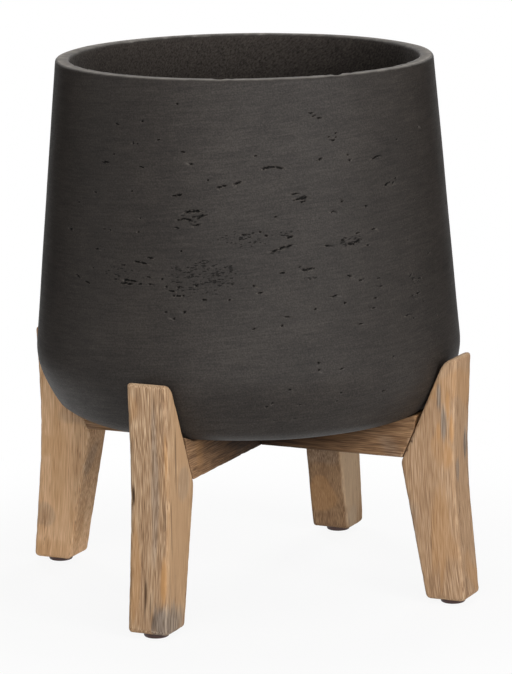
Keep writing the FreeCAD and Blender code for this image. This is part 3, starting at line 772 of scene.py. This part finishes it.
def sawn_board(bm, thickness, ease, reach):
    """Extrude the drawn face to a centred board along Y, and ease its edges up to a reach from X 0."""
    bmesh.ops.translate(bm, verts=bm.verts[:], vec=(0, -thickness / 2 * MM, 0))
    made = bmesh.ops.extrude_face_region(bm, geom=bm.faces[:], use_keep_orig=True)
    moved = [item for item in made["geom"] if isinstance(item, bmesh.types.BMVert)]
    bmesh.ops.translate(bm, verts=moved, vec=(0, thickness * MM, 0))
    bmesh.ops.recalc_face_normals(bm, faces=bm.faces[:])
    rims = [edge for edge in bm.edges if abs(edge.verts[0].co.y - edge.verts[1].co.y) < HAIR]
    rims = [edge for edge in rims if min(abs(vert.co.x) for vert in edge.verts) < reach * MM]
    bmesh.ops.bevel(bm, geom=rims, offset=ease * MM, affect="EDGES", segments=3, profile=0.5, material=-1)


def cut_cells(bm, axis, step):
    """Cut a mesh into cells by planes square to an axis."""
    places = [vert.co[axis] for vert in bm.verts]
    low, high = min(places), max(places)
    normal = Vector([float(number == axis) for number in range(3)])
    count = round((high - low) / (step * MM))
    for number in range(1, count):
        bmesh.ops.bisect_plane(
            bm, geom=bm.verts[:] + bm.edges[:] + bm.faces[:], dist=0.05 * MM,
            plane_co=normal * (low + (high - low) * number / count), plane_no=normal,
        )


fall = math.tan(HORN_LEAN) * math.tan(TIP_SLOPE)
tip_drop = TIP_WIDTH * math.tan(TIP_SLOPE) / (1 - fall)
leg_blank = bmesh.new()
drawn_face(leg_blank, [
    (FOOT_INSIDE, FOOT_HEIGHT, FOOT_ROUND),
    (FOOT_OUTSIDE, FOOT_HEIGHT, FOOT_ROUND),
    (WAIST, WAIST_HEIGHT, WAIST_BEND),
    (inner_face(HORN_HEIGHT) + TIP_WIDTH, HORN_HEIGHT, TIP_OUTER_ROUND),
    (inner_face(HORN_HEIGHT - tip_drop), HORN_HEIGHT - tip_drop, TIP_INNER_ROUND),
    (KNEE, KNEE_HEIGHT, KNEE_ROUND),
])
sawn_board(leg_blank, BOARD, LEG_EASE, math.inf)
for axis, step in LEG_CELLS:
    cut_cells(leg_blank, axis, step)
print("leg blank", len(leg_blank.faces), "faces")

# %% Weather the boards
# Sizes in mm: the brushed grooves across and along the grain, the cloudy patches, and the chipped edges
GROOVE, GROOVE_LENGTH, CLOUDY, CHIPPED = 2.6, 60, 30, 8
# Painted shade ends in an even edge, and every other patch frays along the grooves
PAINTED_SHADE_FRAY, FRAY = 0.08, 0.4


def weather(bm, grain_axis, seed, relief, patches):
    """Brush the soft grain out, wear the edges, and open the deepest grooves as cracks.

    Layers on the mesh say how cracked, grey, amber or quiet the wood is, how far it is pale from wear and
    painted light, and where it is painted dark as painted shade. A patch is the name of a layer, a centre and
    three radii in millimetres, and a strength.
    """
    bm.normal_update()
    names = ("crack", "grey", "amber", "quiet", "painted_shade", "wear_and_painted_light")
    layers = {name: bm.verts.layers.float.new(name) for name in names}
    shift = Vector((seed * 7.3, seed * 3.1, seed * 5.7))
    fine = Vector((GROOVE, GROOVE, GROOVE)) * MM
    fine[grain_axis] = GROOVE_LENGTH * MM
    for vert in bm.verts:
        place = vert.co
        groove = noise.noise(Vector([place[n] / fine[n] for n in range(3)]) + shift)
        broad = noise.noise(place / (CLOUDY * MM) + shift)
        side = abs(vert.normal.y)
        arris = 2 * min(side, math.sqrt(max(0, 1 - side * side)))
        chip = max(0, noise.noise(place / (CHIPPED * MM) + shift))
        vert[layers["crack"]] = clamped((-groove - 0.68) / 0.12) * 0.45
        vert[layers["grey"]] = clamped((broad - 0.3) / 0.5, 0.3)
        vert[layers["amber"]] = clamped((-broad - 0.3) / 0.5, 0.25)
        vert[layers["wear_and_painted_light"]] = clamped(arris - 0.7, 0.5) * (0.1 + chip)
        for name, centre, radii, strength in patches:
            away = Vector([(place[n] / MM - centre[n]) / radii[n] for n in range(3)]).length
            ragged = PAINTED_SHADE_FRAY if name == "painted_shade" else FRAY
            share = strength * clamped((1 + ragged * groove - away) / 0.4)
            vert[layers[name]] = max(vert[layers[name]], share)
        depth = relief * (0.5 - 0.5 * groove) + 0.15 * (1 + broad) + 0.5 * arris * chip
        vert.co -= vert.normal * (depth + 0.35 * vert[layers["crack"]]) * MM


print("grooves", GROOVE, "mm wide and", GROOVE_LENGTH, "mm long")

# %% Patches on the legs
# They are in the pattern's own directions: away from the pot, across the board, and up
HALF = BOARD / 2
LEG_PATCHES = {
    "front": [
        ("grey", (190, 5, 120), (30, 4, 70), 0.45), ("grey", (190, 13, 13), (34, 12, 19), 0.85),
        ("amber", (190, 15, 146), (20, 2, 22), 0.5), ("amber", (196, 13, 47), (14, 3.5, 24), 0.7),
        ("amber", (192, -13, 50), (20, 7, 60), 0.35), ("quiet", (196, 13, 47), (14, 5, 21), 1.0),
        ("quiet", (158, HALF, 150), (15, 4, 55), 1.0), ("quiet", (168, HALF, 75), (21, 4, 62), 1.0),
        ("crack", (187, -14, 114), (8, 1.2, 13), 0.9), ("crack", (192, -2, 36), (10, 0.9, 22), 0.9),
        ("crack", (192, 2, 25), (10, 0.7, 16), 0.8), ("crack", (173, HALF, 140), (1.0, 4, 30), 0.7),
        # The pale patch over the whole side face at HALF is painted light on that face
        ("crack", (182, HALF, 90), (0.9, 4, 24), 0.6), ("wear_and_painted_light", (165, HALF, 100), (40, 3, 130), 0.12),
        ("amber", (165, HALF, 100), (40, 3, 130), 0.3), ("wear_and_painted_light", (190, 0, 206), (30, 30, 4), 0.35),
        ("quiet", (194, 0, 105), (16, 20, 140), 0.4),
    ],
    "right": [
        ("grey", (173.5, -HALF, 173), (2.4, 4, 14), 0.8), ("grey", (178, -HALF, 150), (2.6, 4, 18), 0.8),
        ("amber", (173, -HALF, 143), (2.4, 4, 10), 0.55), ("amber", (181.5, -HALF, 166), (2.6, 4, 14), 0.6),
        ("amber", (184.5, -HALF, 148), (2.2, 4, 16), 0.6), ("amber", (181, -HALF, 124), (5, 4, 14), 0.5),
        ("grey", (187, 9, 130), (8, 5, 15), 0.85), ("grey", (187, -8, 112), (8, 5, 10), 0.6),
        ("quiet", (165, -HALF, 100), (45, 4, 150), 0.55), ("amber", (175, -HALF, 60), (9, 4, 50), 0.3),
        ("crack", (187, 7, 128), (8, 1.4, 12), 0.7), ("crack", (151, -HALF, 141), (1.3, 4, 1.6), 0.9),
        ("crack", (150, -HALF, 134), (1.2, 4, 1.4), 0.9), ("crack", (146, -HALF, 126), (1.2, 4, 1.6), 0.9),
        ("wear_and_painted_light", (190, 0, 206), (30, 30, 4), 0.35), ("quiet", (190, 0, 120), (14, 12, 130), 0.7),
    ],
    "left": [
        ("amber", (170, HALF, 90), (9, 4, 60), 0.3), ("quiet", (170, HALF, 90), (22, 4, 110), 0.7),
        # Painted shade: the left leg's inner face is painted darker where less light reaches it
        ("painted_shade", (145, 0, 75), (18, 40, 130), 0.18),
    ],
    # The pale patch over the back leg's side at minus HALF is painted light on that face
    "back": [("quiet", (160, 0, 90), (30, 20, 110), 0.6), ("wear_and_painted_light", (160, -HALF, 90), (40, 3, 130), 0.35)],
}
print(sum(len(patches) for patches in LEG_PATCHES.values()), "patches on the legs")

# %% Make the four legs
LEG_RELIEF = 0.12
# light, middle and dark wood: the same wood painted lighter on the left leg as painted light, and darker on
# the back and right legs as painted shade
LEG_LIT_AND_SHADED_TONES = {
    "front": ("#cfb292", "#a88869", "#7a5d44"),
    "right": ("#c9aa8c", "#a98868", "#80634b"),
    "left": ("#f6d2ab", "#deb389", "#b28660"),
    "back": ("#a48666", "#8b6d51", "#6b503b"),
}
# The grain follows the hollow outer faces: BOW times the square of the height from BOW_HEIGHT, in metres
BOW = 0.42
GRAIN_BENDS = {"right": (-BOW, 0, 0), "back": (0, -BOW, 0), "left": (BOW, 0, 0), "front": (0, BOW, 0)}
SIDES = {"right": 0, "back": 90, "left": 180, "front": 270}
for number, (side, turn) in enumerate(SIDES.items()):
    leg = leg_blank.copy()
    weather(leg, 2, number + 1, LEG_RELIEF, LEG_PATCHES[side])
    spin = Matrix.Rotation(math.radians(turn), 3, "Z")
    bmesh.ops.rotate(leg, verts=leg.verts[:], cent=(0, 0, 0), matrix=spin)
    timber = weathered_timber(f"weathered_hardwood_{side}", (0, 0, 0), GRAIN_BENDS[side], number + 1,
                              LEG_LIT_AND_SHADED_TONES[side])
    finished(leg, f"timber_leg_{side}", timber, "stand", "weathered_timber", f"leg_{side}")
leg_blank.free()

# %% [markdown]
# ## The rails
# Two rails cross under the pot and lap into each other at half their height. Their ends lean to meet the
# legs' inner faces, and their top edges sweep up a little next to the legs. Under the pot the wood is painted
# dark: painted shade of the pot. A boolean could cut the laps, but a notch in the outline gives cleaner
# cells. The rails are made as the legs are, with the grain along them.

# %% Saw the rails
RAIL_LOW, RAIL_HIGH, RAIL_WIDTH, LAP_ROOM, RAIL_EASE = 119, POT_BASE, 34, 0.2, 2
RAIL_CELLS, RAIL_RELIEF = ((0, 3.0), (2, 1.2), (1, 1.2)), 0.15
LAP_HEIGHT = (RAIL_LOW + RAIL_HIGH) / 2
# The uppermost SWEEP_DEPTH of a rail rises by SWEEP_UP over its run
SWEEP_UP, SWEEP_DEPTH, SWEEP_FROM, SWEEP_RUN = 5.0, 5, 139, 13
NOTCH = RAIL_WIDTH / 2 + LAP_ROOM
notches = {
    "left_right": ([(-NOTCH, RAIL_LOW), (-NOTCH, LAP_HEIGHT), (NOTCH, LAP_HEIGHT), (NOTCH, RAIL_LOW)], []),
    "front_back": ([], [(NOTCH, RAIL_HIGH), (NOTCH, LAP_HEIGHT), (-NOTCH, LAP_HEIGHT), (-NOTCH, RAIL_HIGH)]),
}
RAIL_TONES = ("#b08b67", "#8c6b4d", "#654831")
# Painted shade of the pot over the middle of both rails, reaching further along near their tops
RAIL_PATCHES = [("painted_shade", (0, 0, RAIL_HIGH + 15), (180, 48, 88), 1.0)]
low_end, high_end = inner_face(RAIL_LOW), inner_face(RAIL_HIGH)
quarter_turn = Matrix.Rotation(math.pi / 2, 3, "Z")
for number, (name, (below, above)) in enumerate(notches.items()):
    corners = [(-low_end, RAIL_LOW)] + below + [(low_end, RAIL_LOW), (high_end, RAIL_HIGH)] + above
    corners += [(-high_end, RAIL_HIGH)]
    rail = bmesh.new()
    drawn_face(rail, [(across, up, 0) for across, up in corners])
    # The ends meet the legs, so their edges stay sharp
    sawn_board(rail, RAIL_WIDTH, RAIL_EASE, low_end - 1)
    for axis, step in RAIL_CELLS:
        cut_cells(rail, axis, step)
    weather(rail, 0, number + 7, RAIL_RELIEF, RAIL_PATCHES)
    for vert in rail.verts:
        if vert.co.z > (RAIL_HIGH - SWEEP_DEPTH) * MM:
            vert.co.z += SWEEP_UP * clamped((abs(vert.co.x) / MM - SWEEP_FROM) / SWEEP_RUN) * MM
    grain_turn = (0, math.pi / 2, 0)
    if name == "front_back":
        bmesh.ops.rotate(rail, verts=rail.verts[:], cent=(0, 0, 0), matrix=quarter_turn)
        grain_turn = (math.pi / 2, 0, 0)
    timber = weathered_timber(f"weathered_hardwood_{name}_rail", grain_turn, (0, 0, 0), number + 6,
                              RAIL_TONES)
    finished(rail, f"timber_rail_{name}", timber, "stand", "weathered_timber", f"{name}_rail")

# %% [markdown]
# ## Small parts
# The glides under the feet are moulded from dark brown plastic. The dowels are beech, the nails and the
# screw are zinc-plated steel, and the plug in the drain hole is black rubber. They could be made again as
# meshes too, but they are small or hidden, so they keep the model's shape and only get a material.

# %% Small part materials
def speckled(name, low, high, grain_mm, **shader):
    """A plain moulded or plated material with a fine grain in its colour and its surface."""
    material, tree = new_material(name)
    place = add_node(tree, "TexCoord")
    grain = add_node(tree, "TexNoise", {
        "Vector": place.outputs["Object"], "Scale": 1 / (grain_mm * MM), "Detail": 3.0,
    })
    colour = add_node(tree, "ValToRGB", {"Fac": grain.outputs["Fac"]}, stops=[(0.3, low), (0.7, high)])
    bump = add_node(tree, "Bump", {"Height": grain.outputs["Fac"], "Strength": 0.3, "Distance": 0.1 * MM})
    surface = add_node(tree, "BsdfPrincipled", {
        "Base Color": colour.outputs[0], "Normal": bump.outputs[0], **shader,
    })
    add_node(tree, "OutputMaterial", {"Surface": surface.outputs[0]})
    return material


# Dark brown with a soft shine on its rounded edge
glide_plastic = speckled("moulded_brown_nylon", "#2c1610", "#42211a", 1.5, Roughness=0.45)
# Nearly black and dull
rubber = speckled("moulded_black_rubber", "#191919", "#232323", 1.2, Roughness=0.7)
# Light grey metal with a slightly clouded mirror
zinc = speckled("zinc_plated_steel", "#a9abad", "#c9cbcc", 2.0, Roughness=0.35, Metallic=1.0)
# Pale, dry and even
beech = speckled("turned_beech", "#c39a6b", "#d5b184", 1.0, Roughness=0.7)
# A piece takes the first kind that its name starts with, so the nails come before the glides
FINISHES = {
    "glide_nail": zinc, "glide": glide_plastic, "dowels": beech, "drain_plug": rubber, "lap_screw": zinc,
}
for name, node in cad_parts.items():
    kind = next((kind for kind in FINISHES if name.startswith(kind)), None)
    if kind:
        node.data.materials.clear()
        node.data.materials.append(FINISHES[kind])
print("small parts have", len(FINISHES), "kinds of finish")
